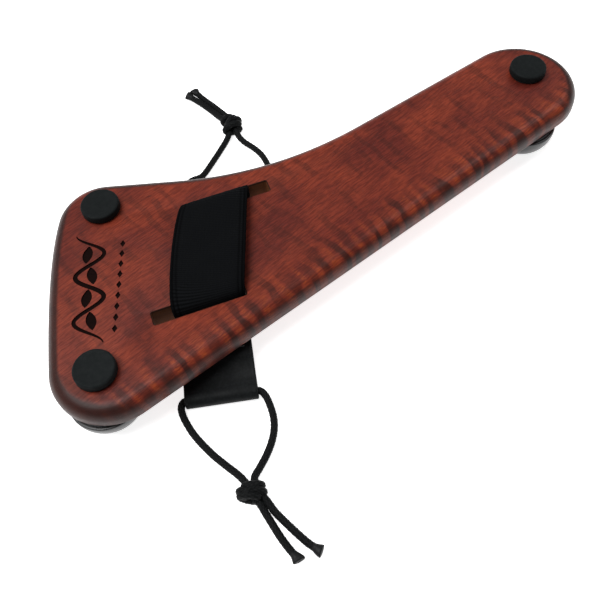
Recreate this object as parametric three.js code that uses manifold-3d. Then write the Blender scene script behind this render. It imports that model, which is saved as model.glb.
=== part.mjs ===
// Violin shoulder rest: a rounded maple plate with rubber feet on the violin side, domed pads on the
// shoulder side, and an elastic strap threaded through two slots that ends in two cord loops.
// Millimetres, +Z up towards the violin. The pads stand on z = 0, the slots run along X.

import * as THREE from 'three';
import { mergeVertices } from 'three/addons/utils/BufferGeometryUtils.js';
import Module from 'manifold-3d';

const wasm = await Module();
wasm.setup();

// ---------------------------------------------------------------- driving dimensions

const GAP = 0.3;                      // clearance between pieces that touch

const PAD_RADIUS = 14.75;             // domed shoulder pads
const PAD_HEIGHT = 13.4;
const PAD_TIP_RADIUS = 2.6;           // small flat at the crown of a pad
const PAD_SKIRT = 1.2;                // upright rim below the dome
const PAD_TAPE_THICKNESS = 0.5;
const PAD_TAPE_RADIUS = 13.2;

const PLATE_BOTTOM = PAD_HEIGHT + GAP + PAD_TAPE_THICKNESS + GAP;
const PLATE_THICKNESS = 10;
const PLATE_TOP = PLATE_BOTTOM + PLATE_THICKNESS;
const TOP_ROUND = 6;                  // round-over towards the violin
const BOTTOM_ROUND = 2;               // round-over towards the shoulder

const NARROW_END = { x: 104.0, y: 36.0, r: 26.0 };
const UPPER_CORNER = { x: -94.5, y: 31.8, r: 20.3 };
const LOWER_CORNER = { x: -106.7, y: -35.0, r: 23.5 };
const RIGHT_SLOPE = degrees(15.0);    // upper edge, from the waist to the narrow end
const LEFT_SLOPE = degrees(-16.9);    // upper edge, from the wide end to the waist
const WAIST_RIGHT = 45.6;             // lengths of the two arms of the waist's curve
const WAIST_LEFT = 42.1;
const UPPER_CORNER_END = degrees(156.9);
const LOWER_CORNER_START = degrees(171.4);

const SLOT_LENGTH = 37.4;
const SLOT_WIDTH = 6;
const LOWER_SLOT = { x: -67.9, y: -24.8 };
const UPPER_SLOT = { x: -42.6, y: 21.4 };

const FOOT_RADIUS = 8.2;
const FOOT_HEIGHT = 3.2;
const FOOT_RIM = 0.7;                 // chamfer around the top of a foot
const FOOT_TAPE_THICKNESS = 0.4;
const FOOT_TAPE_RADIUS = 7.4;

const STRAP_THICKNESS = 1.5;
const STRAP_HALF = 14.4;              // half of the elastic's width at the slots
const STRAP_HALF_MIDDLE = 15.7;       // measured along the slots, where the strap runs aslant

const TAB_WIDTH = 27.6;
const TAB_THICKNESS = 2.2;            // two layers
const TUNNEL_RADIUS = 2.05;
const TUNNEL_WALL = 1.05;
const SEAM_WIDTH = 0.9;               // band of thread that sews a tab to the elastic
const SEAM_THICKNESS = 0.4;
const SEAM_INSET = 1.0;               // from the tab's long edges
const SEAM_SETBACK = 2.4;             // from the sewn end

const CORD_RADIUS = 1.5;
const CORD_SIDES = 8;
const CORD_STEP = 2;
const TIP_RADIUS = 2.1;               // heat-sealed, slightly flared cord ends
const TIP_LENGTH = 2.6;

const STRAP_BEND = GAP + STRAP_THICKNESS / 2;   // around the lower edge of a slot's outer wall

// The two ends of the strap. tunnel is the middle of the cord's tunnel, heading the plan angle of
// the way out, slope the fall of the tab, length its length from the tunnel's axis to the sewn end,
// strapX the strap's centre in its slot, wallY the slot wall that it lies against and side the
// side of the plate, along Y, that this end hangs from.
const LOWER_END = {
  tunnel: new THREE.Vector3(-70.97, -55.11, 3.4),
  heading: degrees(-102.2),
  slope: degrees(18.5),
  length: 21.0,
  strapX: -64.0,
  wallY: LOWER_SLOT.y - SLOT_WIDTH / 2,
  side: -1,
};
const UPPER_END = {
  tunnel: new THREE.Vector3(-37.6, 45.9, 3.4),
  heading: degrees(69.5),
  slope: degrees(24.0),
  length: 19.0,
  strapX: -46.5,
  wallY: UPPER_SLOT.y + SLOT_WIDTH / 2,
  side: 1,
};

// Free cord, by hand: from the middle of each tunnel, out of its mouth and over the surface that
// the rest stands on to the knot, and from the knot to the sealed end.
const LOWER_LEFT_ROUTE = [
  [-71.12, -55.08, 3.4], [-74.88, -54.26, 3.4], [-78.79, -53.42, 3.4], [-82.7, -52.57, 3.4],
  [-84.6, -52.2, 3.4], [-86.1, -52.7, 3.3], [-87.2, -54.15, 3.1], [-87.6, -56.1, 2.7],
  [-87.65, -58.4, 2.3], [-87.25, -61.3, 1.9], [-86.2, -65.6, 1.7], [-84.3, -71, 1.7],
  [-81.3, -78, 1.7], [-78, -83.6, 1.9], [-74.2, -90.3, 2.9],
];
const LOWER_RIGHT_ROUTE = [
  [-70.82, -55.14, 3.4], [-67.06, -55.96, 3.4], [-63.15, -56.8, 3.4], [-59.24, -57.65, 3.4],
  [-57.29, -58.07, 3.4], [-55.9, -59, 3.2], [-54.9, -61.4, 2.8], [-54.6, -65.6, 2.1],
  [-54.9, -70.2, 1.7], [-56.3, -75, 1.7], [-58.9, -79.6, 1.7], [-62.2, -83.8, 1.7],
  [-65.6, -87.4, 1.9], [-69, -91.25, 2.75],
];
const LOWER_TAIL_A_ROUTE = [
  [-71.0, -100.1, 2.6], [-69.8, -105.2, 1.9], [-68.1, -111.0, 1.7], [-66.4, -117.2, 1.8],
  [-64.8, -121.6, 2.2],
];
const LOWER_TAIL_B_ROUTE = [
  [-67.3, -99.0, 2.8], [-65.0, -104.4, 2.0], [-62.6, -112.0, 1.7], [-59.9, -117.6, 1.8],
  [-57.1, -121.9, 2.2],
];
const UPPER_LEFT_ROUTE = [
  [-37.74, 45.95, 3.4], [-41.35, 47.3, 3.4], [-45.09, 48.7, 3.4], [-48.84, 50.1, 3.4],
  [-50.45, 50.7, 3.4], [-52.15, 51.65, 3.3], [-53.15, 53.4, 3.1], [-52.9, 55.35, 2.8],
  [-51.6, 56.9, 2.4], [-49.65, 57.75, 2], [-47.4, 58.4, 1.8], [-44.7, 59.85, 1.7],
  [-42, 62.5, 1.7], [-37.9, 67, 1.7], [-32.6, 72.5, 1.7], [-29, 76.1, 2.1],
  [-26.8, 78.75, 2.6],
];
const UPPER_RIGHT_ROUTE = [
  [-37.46, 45.85, 3.4], [-33.85, 44.5, 3.4], [-30.11, 43.1, 3.4], [-26.36, 41.7, 3.4],
  [-24.3, 40.95, 3.4], [-21.6, 40.7, 3.3], [-19.2, 42.1, 2.9], [-17.1, 45.6, 2.3],
  [-15.9, 50.4, 1.8], [-15.6, 55.5, 1.7], [-16.4, 61, 1.7], [-18.2, 66.4, 1.7],
  [-20.4, 71.4, 1.8], [-22.3, 77.45, 2.8],
];
const UPPER_TAIL_A_ROUTE = [
  [-23.2, 89.25, 2.7], [-25.0, 95.6, 1.9], [-28.4, 103.6, 1.7], [-31.6, 110.3, 1.8],
  [-33.6, 113.6, 2.2],
];
const UPPER_TAIL_B_ROUTE = [
  [-26.85, 88.1, 2.6], [-28.9, 93.4, 1.9], [-31.6, 100.8, 1.7], [-34.9, 107.2, 1.8],
  [-37.4, 111.2, 2.2],
];
const LOWER_KNOT = { at: [-71.9, -95.2, 3.7], half: [5.8, 4.3, 3.5], turn: degrees(-20) };
const UPPER_KNOT = { at: [-23.6, 83.2, 3.8], half: [4.8, 5.6, 3.6], turn: degrees(0) };

const FEET = {
  wide_upper: { x: -93.7, y: 36.0 },
  wide_lower: { x: -111.6, y: -39.6 },
  narrow: { x: 109.5, y: 39.4 },
};
const PADS = {
  wide_upper: { x: -96.5, y: 33.5 },
  wide_lower: { x: -112.0, y: -43.2 },
  narrow: { x: 99.6, y: 21.2 },
};

const finish = {
  maple: { color: 0x6b2a1c, roughness: 0.4 },
  rubber: { color: 0x222626, roughness: 0.8 },
  pad: { color: 0x17191b, roughness: 0.35 },
  tape: { color: 0x3c3f42, roughness: 0.7 },
  elastic: { color: 0x17191b, roughness: 0.85 },
  leather: { color: 0x26292b, roughness: 0.6 },
  thread: { color: 0x303336, roughness: 0.8 },
  cord: { color: 0x191b1d, roughness: 0.8 },
};

const rest = new THREE.Group();

// ---------------------------------------------------------------- helpers

function degrees(value) {
  return value * Math.PI / 180;
}

function add(name, geometry, look) {
  const mesh = new THREE.Mesh(geometry, new THREE.MeshStandardMaterial({ ...look, metalness: 0 }));
  mesh.name = name;
  rest.add(mesh);
  return mesh;
}

function along(angle, length) {
  return new THREE.Vector2(Math.cos(angle), Math.sin(angle)).multiplyScalar(length);
}

function onCircle(circle, angle) {
  return new THREE.Vector2(circle.x, circle.y).add(along(angle, circle.r));
}

// Where the line through a at angle angleA meets the line through b at angle angleB.
function crossing(a, angleA, b, angleB) {
  const dirA = along(angleA, 1);
  const dirB = along(angleB, 1);
  const reach = b.clone().sub(a).cross(dirB) / dirA.cross(dirB);
  return a.clone().addScaledVector(dirA, reach);
}

// Closed solid through rings of equal length that are stacked end to end; flat caps close it.
function ringSolid(rings) {
  const count = rings[0].length;
  const positions = rings.flat().flatMap((p) => [p.x, p.y, p.z]);
  const faces = [];
  for (let k = 0; k + 1 < rings.length; k += 1) {
    for (let i = 0; i < count; i += 1) {
      const next = (i + 1) % count;
      const a = k * count + i;
      const b = k * count + next;
      faces.push(a, b, b + count, a, b + count, a + count);
    }
  }
  const cap = capFaces(rings[0]);
  const top = (rings.length - 1) * count;
  for (const [a, b, c] of cap) {
    faces.push(c, b, a);
    faces.push(top + a, top + b, top + c);
  }
  const geometry = new THREE.BufferGeometry();
  geometry.setAttribute('position', new THREE.Float32BufferAttribute(positions, 3));
  geometry.setIndex(faces);
  return geometry;
}

// Triangles of a planar ring, seen along the ring's own normal.
function capFaces(ring) {
  const origin = ring[0];
  const normal = new THREE.Vector3();
  for (let i = 0; i < ring.length; i += 1) {
    const a = ring[i].clone().sub(origin);
    const b = ring[(i + 1) % ring.length].clone().sub(origin);
    normal.add(a.cross(b));
  }
  normal.normalize();
  const u = new THREE.Vector3(1, 0, 0);
  if (Math.abs(normal.x) > 0.8) u.set(0, 1, 0);
  u.addScaledVector(normal, -u.dot(normal)).normalize();
  const v = normal.clone().cross(u);
  const flat = ring.map((p) => new THREE.Vector2(p.dot(u), p.dot(v)));
  return THREE.ShapeUtils.triangulateShape(flat, []);
}

function toManifold(geometry) {
  const bare = geometry.clone();
  bare.deleteAttribute('normal');
  bare.deleteAttribute('uv');
  const merged = mergeVertices(bare);
  const vertProperties = new Float32Array(merged.attributes.position.array);
  const triVerts = new Uint32Array(merged.index.array);
  return new wasm.Manifold(new wasm.Mesh({ numProp: 3, vertProperties, triVerts }));
}

function fromManifold(solid) {
  const mesh = solid.getMesh();
  const geometry = new THREE.BufferGeometry();
  geometry.setAttribute('position', new THREE.BufferAttribute(mesh.vertProperties, 3));
  geometry.setIndex(new THREE.BufferAttribute(mesh.triVerts, 1));
  return geometry;
}

// ---------------------------------------------------------------- plate

// The plate's outline, anticlockwise: arcs at the three corners, a straight lower edge, a bowed
// wide end and a hollow waist.
function plateOutline() {
  const across = NARROW_END.x - LOWER_CORNER.x;
  const rise = NARROW_END.y - LOWER_CORNER.y;
  const taper = Math.asin((NARROW_END.r - LOWER_CORNER.r) / Math.hypot(across, rise));
  const lowerSlope = Math.atan2(rise, across) - taper;
  const quarter = Math.PI / 2;

  const endTop = onCircle(NARROW_END, RIGHT_SLOPE + quarter);
  const cornerTop = onCircle(UPPER_CORNER, LEFT_SLOPE + quarter);
  const waist = crossing(endTop, RIGHT_SLOPE, cornerTop, LEFT_SLOPE);
  const waistStart = waist.clone().add(along(RIGHT_SLOPE, WAIST_RIGHT));
  const waistEnd = waist.clone().sub(along(LEFT_SLOPE, WAIST_LEFT));

  const cornerSide = onCircle(UPPER_CORNER, UPPER_CORNER_END);
  const lowerSide = onCircle(LOWER_CORNER, LOWER_CORNER_START);
  const bow = crossing(
    cornerSide, UPPER_CORNER_END + quarter, lowerSide, LOWER_CORNER_START + quarter,
  );

  const shape = new THREE.Shape();
  const start = onCircle(NARROW_END, lowerSlope - quarter);
  shape.moveTo(start.x, start.y);
  shape.absarc(NARROW_END.x, NARROW_END.y, NARROW_END.r, lowerSlope - quarter, RIGHT_SLOPE + quarter);
  shape.lineTo(waistStart.x, waistStart.y);
  shape.quadraticCurveTo(waist.x, waist.y, waistEnd.x, waistEnd.y);
  shape.lineTo(cornerTop.x, cornerTop.y);
  shape.absarc(UPPER_CORNER.x, UPPER_CORNER.y, UPPER_CORNER.r, LEFT_SLOPE + quarter, UPPER_CORNER_END);
  shape.quadraticCurveTo(bow.x, bow.y, lowerSide.x, lowerSide.y);
  shape.absarc(
    LOWER_CORNER.x, LOWER_CORNER.y, LOWER_CORNER.r, LOWER_CORNER_START, lowerSlope + 3 * quarter,
  );
  return evenly(shape.getPoints(14));
}

// Drops points that repeat their neighbour.
function evenly(points) {
  const kept = [];
  for (const point of points) {
    const last = kept[kept.length - 1];
    if (!last || last.distanceTo(point) > 0.05) kept.push(point);
  }
  if (kept[0].distanceTo(kept[kept.length - 1]) < 0.05) kept.pop();
  return kept;
}

// The outline moved inwards by inset, at height z.
function insetRing(outline, inset, z) {
  return outline.map((point, i) => {
    const before = outline[(i + outline.length - 1) % outline.length];
    const after = outline[(i + 1) % outline.length];
    const inA = new THREE.Vector2(before.y - point.y, point.x - before.x).normalize();
    const inB = new THREE.Vector2(point.y - after.y, after.x - point.x).normalize();
    const inward = inA.add(inB).normalize();
    return new THREE.Vector3(point.x + inward.x * inset, point.y + inward.y * inset, z);
  });
}

function plateSolid() {
  const outline = plateOutline();
  const rings = [];
  for (const turn of [0, 45, 90]) {
    const angle = degrees(turn);
    const inset = BOTTOM_ROUND * (1 - Math.sin(angle));
    rings.push(insetRing(outline, inset, PLATE_BOTTOM + BOTTOM_ROUND * (1 - Math.cos(angle))));
  }
  for (const turn of [0, 22.5, 45, 67.5, 90]) {
    const angle = degrees(turn);
    const inset = TOP_ROUND * (1 - Math.cos(angle));
    rings.push(insetRing(outline, inset, PLATE_TOP - TOP_ROUND * (1 - Math.sin(angle))));
  }
  let solid = toManifold(ringSolid(rings));
  for (const slot of [LOWER_SLOT, UPPER_SLOT]) {
    const cutter = new THREE.BoxGeometry(SLOT_LENGTH, SLOT_WIDTH, 2 * PLATE_THICKNESS);
    cutter.translate(slot.x, slot.y, PLATE_BOTTOM + PLATE_THICKNESS / 2);
    solid = solid.subtract(toManifold(cutter));
  }
  return fromManifold(solid);
}

add('plate', plateSolid(), finish.maple);

// ---------------------------------------------------------------- feet and pads

// Turned solid whose axis is Z; profile points are [radius, height], from the axis to the axis.
function turned(profile, sides) {
  const points = profile.map(([r, z]) => new THREE.Vector2(r, z));
  return new THREE.LatheGeometry(points, sides).rotateX(Math.PI / 2);
}

function disc(radius, height, sides) {
  return turned([[0, 0], [radius, 0], [radius, height], [0, height]], sides);
}

function footSolid() {
  return turned([
    [0, 0], [FOOT_RADIUS, 0], [FOOT_RADIUS, FOOT_HEIGHT - FOOT_RIM],
    [FOOT_RADIUS - 0.3 * FOOT_RIM, FOOT_HEIGHT - 0.3 * FOOT_RIM],
    [FOOT_RADIUS - FOOT_RIM, FOOT_HEIGHT], [0, FOOT_HEIGHT],
  ], 40);
}

// The dome hangs below the plate: its crown is at z = 0 and its flat back at PAD_HEIGHT.
function padSolid() {
  const profile = [[0, 0], [PAD_TIP_RADIUS, 0]];
  const domeHeight = PAD_HEIGHT - PAD_SKIRT;
  const start = Math.asin(PAD_TIP_RADIUS / PAD_RADIUS);
  const steps = 7;
  for (let i = 1; i <= steps; i += 1) {
    const angle = start + (Math.PI / 2 - start) * i / steps;
    const drop = (Math.cos(start) - Math.cos(angle)) / Math.cos(start);
    profile.push([PAD_RADIUS * Math.sin(angle), domeHeight * drop]);
  }
  profile.push([PAD_RADIUS, PAD_HEIGHT], [0, PAD_HEIGHT]);
  return turned(profile, 36);
}

for (const [place, spot] of Object.entries(FEET)) {
  const tapeBottom = PLATE_TOP + GAP;
  const footBottom = tapeBottom + FOOT_TAPE_THICKNESS + GAP;
  add(`foot_tape_${place}`, disc(FOOT_TAPE_RADIUS, FOOT_TAPE_THICKNESS, 32), finish.tape)
    .position.set(spot.x, spot.y, tapeBottom);
  add(`rubber_foot_${place}`, footSolid(), finish.rubber)
    .position.set(spot.x, spot.y, footBottom);
}

for (const [place, spot] of Object.entries(PADS)) {
  add(`shoulder_pad_${place}`, padSolid(), finish.pad)
    .position.set(spot.x, spot.y, 0);
  add(`pad_tape_${place}`, disc(PAD_TAPE_RADIUS, PAD_TAPE_THICKNESS, 32), finish.tape)
    .position.set(spot.x, spot.y, PAD_HEIGHT + GAP);
}

// ---------------------------------------------------------------- elastic strap

// The directions of one end of the strap, in plan: out along the tab, and across it.
function directions(end) {
  const out = new THREE.Vector3(Math.cos(end.heading), Math.sin(end.heading), 0);
  const across = new THREE.Vector3(-out.y, out.x, 0);
  return { out, across };
}

// The middle of the tab's sewn end, where the elastic goes in.
function sewnEnd(end) {
  const { out } = directions(end);
  const point = end.tunnel.clone().addScaledVector(out, -end.length * Math.cos(end.slope));
  point.z += end.length * Math.sin(end.slope);
  return point;
}

// Stations from the tab up through the slot: point, direction across and half width. The strap
// bends around the lower edge of the slot's outer wall.
function slotRun(end) {
  const { out, across } = directions(end);
  const acrossTab = across.clone().multiplyScalar(-end.side);
  const acrossSlot = new THREE.Vector3(1, 0, 0);
  const halfTab = TAB_WIDTH / 2;
  const first = sewnEnd(end).addScaledVector(out, -1.3 * GAP * Math.cos(end.slope));
  first.z += 1.3 * GAP * Math.sin(end.slope);
  const bend = [90, 45, 0].map((turn) => new THREE.Vector3(
    end.strapX,
    end.wallY - end.side * STRAP_BEND * Math.cos(degrees(turn)),
    PLATE_BOTTOM - STRAP_BEND * Math.sin(degrees(turn)),
  ));
  const middle = first.clone().lerp(bend[0], 0.5);
  const top = bend[2].clone();
  top.z = PLATE_TOP - 1;
  return [
    { at: first, across: acrossTab, half: halfTab },
    { at: middle, across: acrossTab.clone().lerp(acrossSlot, 0.5), half: (halfTab + STRAP_HALF) / 2 },
    ...[...bend, top].map((at) => ({ at, across: acrossSlot, half: STRAP_HALF })),
  ];
}

// The slack arch over the plate's top face. Each pair is how far the station lies along the way
// from the lower slot to the upper one, and its height over the plate.
const ARCH = [
  [0.004, 0.2], [0.018, 2.1], [0.062, 3.7], [0.16, 4.7], [0.32, 5.2], [0.5, 5.4],
  [0.68, 5.2], [0.84, 4.7], [0.938, 3.7], [0.982, 2.1], [0.996, 0.2],
];

function archStations() {
  const [from, to] = [LOWER_END, UPPER_END].map((end) => new THREE.Vector3(
    end.strapX, end.wallY - end.side * STRAP_BEND, PLATE_TOP,
  ));
  return ARCH.map(([share, height]) => {
    const at = from.clone().lerp(to, share);
    at.z += height;
    const swell = Math.sin(Math.PI * share);
    const half = STRAP_HALF + (STRAP_HALF_MIDDLE - STRAP_HALF) * swell;
    return { at, across: new THREE.Vector3(1, 0, 0), half };
  });
}

function ribbonSolid(stations) {
  const rings = stations.map(({ at, across, half }, i) => {
    const before = stations[Math.max(i - 1, 0)].at;
    const after = stations[Math.min(i + 1, stations.length - 1)].at;
    const tangent = after.clone().sub(before).normalize();
    const side = across.clone().normalize();
    const up = side.clone().cross(tangent).normalize().multiplyScalar(STRAP_THICKNESS / 2);
    const arm = side.multiplyScalar(half);
    return [
      at.clone().sub(arm).sub(up),
      at.clone().sub(arm).add(up),
      at.clone().add(arm).add(up),
      at.clone().add(arm).sub(up),
    ];
  });
  return ringSolid(rings);
}

add('elastic_strap', ribbonSolid([
  ...slotRun(LOWER_END),
  ...archStations(),
  ...slotRun(UPPER_END).reverse(),
]), finish.elastic);

// ---------------------------------------------------------------- tabs

// Section of a tab: two layers that part around the cord's tunnel. x runs outwards along the tab
// and y through its thickness, with the tunnel's axis at the origin.
function tabSection(length) {
  const half = TAB_THICKNESS / 2;
  const outer = TUNNEL_RADIUS + TUNNEL_WALL;
  const shape = new THREE.Shape();
  shape.moveTo(-length, -half);
  shape.lineTo(-2.6 * outer, -half);
  shape.absarc(0, 0, outer, degrees(-112), degrees(112));
  shape.lineTo(-2.6 * outer, half);
  shape.lineTo(-length, half);
  shape.closePath();
  const tangent = degrees(117);
  const touch = along(tangent, TUNNEL_RADIUS);
  const tunnel = new THREE.Path();
  tunnel.moveTo(-2.2 * TUNNEL_RADIUS, 0);
  tunnel.lineTo(touch.x, -touch.y);
  tunnel.absarc(0, 0, TUNNEL_RADIUS, -tangent, tangent);
  tunnel.closePath();
  shape.holes.push(tunnel);
  return shape;
}

// Places a mesh in a tab's own frame: x outwards along the tab, y up through it, z across it.
function placeOnTab(mesh, end) {
  const { out, across } = directions(end);
  const outDown = out.clone().multiplyScalar(Math.cos(end.slope));
  outDown.z = -Math.sin(end.slope);
  const normal = across.clone().cross(outDown);
  mesh.quaternion.setFromRotationMatrix(new THREE.Matrix4().makeBasis(outDown, normal, across));
  mesh.position.copy(end.tunnel);
}

function addTab(prefix, end) {
  const body = new THREE.ExtrudeGeometry(tabSection(end.length), {
    depth: TAB_WIDTH, bevelEnabled: false, curveSegments: 8,
  });
  body.translate(0, 0, -TAB_WIDTH / 2);
  placeOnTab(add(`${prefix}_tab`, body, finish.leather), end);

  const seam = new THREE.BoxGeometry(SEAM_WIDTH, SEAM_THICKNESS, TAB_WIDTH - 2 * SEAM_INSET);
  seam.translate(SEAM_SETBACK - end.length, TAB_THICKNESS / 2 + GAP + SEAM_THICKNESS / 2, 0);
  placeOnTab(add(`${prefix}_seam_thread`, seam, finish.thread), end);
}

addTab('lower', LOWER_END);
addTab('upper', UPPER_END);

// ---------------------------------------------------------------- cords, knots and sealed tips

function routeCurve(route) {
  const points = route.map(([x, y, z]) => new THREE.Vector3(x, y, z));
  return new THREE.CatmullRomCurve3(points, false, 'centripetal');
}

function cordSolid(route) {
  const section = new THREE.Shape();
  for (let i = 0; i < CORD_SIDES; i += 1) {
    const corner = along(2 * Math.PI * (i + 0.5) / CORD_SIDES, CORD_RADIUS);
    if (i === 0) section.moveTo(corner.x, corner.y);
    else section.lineTo(corner.x, corner.y);
  }
  section.closePath();
  const extrudePath = routeCurve(route);
  const steps = Math.ceil(extrudePath.getLength() / CORD_STEP);
  return new THREE.ExtrudeGeometry(section, { steps, extrudePath, bevelEnabled: false });
}

// The sealed end of a cord carries on along the route's last stretch.
function addTip(name, route) {
  const curve = routeCurve(route);
  const onward = curve.getTangent(1);
  onward.z = 0;
  onward.normalize();
  const profile = [
    [0, 0], [0.8 * TIP_RADIUS, 0], [TIP_RADIUS, 0.35 * TIP_LENGTH],
    [0.9 * TIP_RADIUS, 0.85 * TIP_LENGTH], [0.6 * TIP_RADIUS, TIP_LENGTH], [0, TIP_LENGTH],
  ];
  const mesh = add(name, turned(profile, 12), finish.cord);
  mesh.quaternion.setFromUnitVectors(new THREE.Vector3(0, 0, 1), onward);
  mesh.position.copy(curve.getPoint(1)).addScaledVector(onward, 1.5 * GAP);
}

// A knot's outer shape: a flattened ball around which the cord is wound.
function addKnot(name, knot) {
  const ball = new THREE.SphereGeometry(1, 20, 12);
  ball.scale(knot.half[0], knot.half[1], knot.half[2]);
  ball.rotateZ(knot.turn);
  add(name, ball, finish.cord).position.set(...knot.at);
}

// One end's cord: two branches from the tunnel to the knot, and two tails with sealed tips.
function addCordEnd(prefix, routes, knot) {
  add(`${prefix}_cord_left`, cordSolid(routes.left), finish.cord);
  add(`${prefix}_cord_right`, cordSolid(routes.right), finish.cord);
  addKnot(`${prefix}_knot`, knot);
  for (const tail of ['a', 'b']) {
    add(`${prefix}_tail_${tail}`, cordSolid(routes[tail]), finish.cord);
    addTip(`${prefix}_tip_${tail}`, routes[tail]);
  }
}

addCordEnd('lower', {
  left: LOWER_LEFT_ROUTE, right: LOWER_RIGHT_ROUTE, a: LOWER_TAIL_A_ROUTE, b: LOWER_TAIL_B_ROUTE,
}, LOWER_KNOT);
addCordEnd('upper', {
  left: UPPER_LEFT_ROUTE, right: UPPER_RIGHT_ROUTE, a: UPPER_TAIL_A_ROUTE, b: UPPER_TAIL_B_ROUTE,
}, UPPER_KNOT);

export default rest;
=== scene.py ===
import math

import bmesh
import bpy
import numpy as np
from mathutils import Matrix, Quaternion, Vector


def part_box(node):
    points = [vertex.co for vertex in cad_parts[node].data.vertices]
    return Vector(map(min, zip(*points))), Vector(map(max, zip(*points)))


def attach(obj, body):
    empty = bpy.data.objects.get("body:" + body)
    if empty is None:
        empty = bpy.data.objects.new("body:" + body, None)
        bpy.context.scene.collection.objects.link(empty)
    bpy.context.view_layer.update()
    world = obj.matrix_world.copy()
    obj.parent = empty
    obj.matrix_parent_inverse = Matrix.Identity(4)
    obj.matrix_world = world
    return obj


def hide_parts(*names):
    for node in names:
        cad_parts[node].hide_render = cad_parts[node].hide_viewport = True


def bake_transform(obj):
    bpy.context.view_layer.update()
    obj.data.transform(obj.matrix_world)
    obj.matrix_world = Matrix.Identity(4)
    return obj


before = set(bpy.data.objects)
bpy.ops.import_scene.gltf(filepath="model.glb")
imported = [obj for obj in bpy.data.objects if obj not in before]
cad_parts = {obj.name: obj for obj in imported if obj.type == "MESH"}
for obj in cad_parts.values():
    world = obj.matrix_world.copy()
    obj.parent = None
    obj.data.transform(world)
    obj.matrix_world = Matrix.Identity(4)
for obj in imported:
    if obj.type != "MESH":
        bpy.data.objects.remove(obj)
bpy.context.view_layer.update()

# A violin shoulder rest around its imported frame. Metres, +Z up towards the violin: a stained maple
# plate on three domed pads, three rubber feet on top, and an elastic strap that ends in two folded
# tabs, each with a loop of braided cord tied in a knot.

# -------- dimensions shared with the CAD

PLATE_BOTTOM = 0.0145
PLATE_TOP = 0.0245
TOP_ROUND = 0.006
BOTTOM_ROUND = 0.002
NARROW_END = (0.104, 0.036, 0.026)
UPPER_CORNER = (-0.0945, 0.0318, 0.0203)
LOWER_CORNER = (-0.1067, -0.035, 0.0235)
RIGHT_SLOPE = math.radians(15.0)
LEFT_SLOPE = math.radians(-16.9)
WAIST_RIGHT = 0.0456
WAIST_LEFT = 0.0421
UPPER_CORNER_END = math.radians(156.9)
LOWER_CORNER_START = math.radians(171.4)

SLOT_LENGTH = 0.0374
SLOT_WIDTH = 0.006
LOWER_SLOT = (-0.0679, -0.0248)
UPPER_SLOT = (-0.0426, 0.0214)

PAD_RADIUS = 0.01475
PAD_HEIGHT = 0.0134
PAD_SKIRT = 0.0012
PAD_TIP_RADIUS = 0.0026
PAD_TAPE_RADIUS = 0.0132
FOOT_RADIUS = 0.0082
FOOT_BOTTOM = 0.0252
FOOT_TOP = 0.0287
FOOT_TAPE_RADIUS = 0.0074

STRAP_THICKNESS = 0.0015
STRAP_HALF = 0.0144
STRAP_HALF_MIDDLE = 0.0157
STRAP_BEND = 0.00105
TAB_WIDTH = 0.0276
CORD_DIAMETER = 0.003

# -------- camera

CAMERA_PLACE = Vector((-0.07016, -0.18416, 0.26616))
CAMERA_TARGET = Vector((-0.031, -0.038, 0.0245))
CAMERA_ROLL = math.radians(-5.9)
CAMERA_LENS = 44.43


def add_object(name, data):
    made = bpy.data.objects.new(name, data)
    bpy.context.scene.collection.objects.link(made)
    return made


def aim(thing, start, target, roll=0.0):
    """Puts a camera or a light at start and turns it towards target."""
    thing.location = start
    thing.rotation_mode = "QUATERNION"
    way = (target - start).to_track_quat("-Z", "Y")
    thing.rotation_quaternion = way @ Quaternion((0, 0, 1), roll)


def make_camera():
    data = bpy.data.cameras.new("camera")
    data.lens = CAMERA_LENS
    data.sensor_width = 36
    camera = add_object("camera", data)
    aim(camera, CAMERA_PLACE, CAMERA_TARGET, CAMERA_ROLL)
    bpy.context.scene.camera = camera


make_camera()

# -------- shader nodes


def set_inputs(tree, made, values):
    """A value that is a socket is linked, any other is set on the input itself."""
    for key, value in values.items():
        socket = made.inputs[key]
        if isinstance(value, bpy.types.NodeSocket):
            tree.links.new(value, socket)
        elif socket.type == "RGBA":
            socket.default_value = (*value, 1)
        else:
            socket.default_value = value


def node(tree, kind, values=None, **properties):
    made = tree.nodes.new(kind)
    for key, value in properties.items():
        setattr(made, key, value)
    set_inputs(tree, made, values or {})
    return made


def make_material(name, look):
    """A material whose shader has the inputs that look(tree) gives."""
    material = bpy.data.materials.new(name)
    material.use_nodes = True
    tree = material.node_tree
    set_inputs(tree, tree.nodes["Principled BSDF"], look(tree))
    return material


def mapped(tree, vector, scale=(1, 1, 1), turn=0.0):
    values = {"Vector": vector, "Scale": scale, "Rotation": (0, 0, turn)}
    return node(tree, "ShaderNodeMapping", values).outputs["Vector"]


def place(tree, scale=(1, 1, 1), turn=0.0):
    """The object's own coordinates in metres, turned about Z and then scaled."""
    coordinates = node(tree, "ShaderNodeTexCoord").outputs["Object"]
    return mapped(tree, mapped(tree, coordinates, turn=turn), scale)


def cloth_place(tree, scale=(1, 1, 1)):
    """Metres across and along a ribbon, times scale."""
    coordinates = node(tree, "ShaderNodeUVMap", uv_map="ribbon").outputs["UV"]
    return mapped(tree, coordinates, scale)


def noise(tree, vector, scale, detail=2.0, roughness=0.5, distortion=0.0):
    values = {
        "Vector": vector, "Scale": scale, "Detail": detail,
        "Roughness": roughness, "Distortion": distortion,
    }
    return node(tree, "ShaderNodeTexNoise", values).outputs["Fac"]


def banded(tree, values):
    made = node(tree, "ShaderNodeTexWave", values, wave_type="BANDS", bands_direction="X")
    return made.outputs["Fac"]


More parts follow.
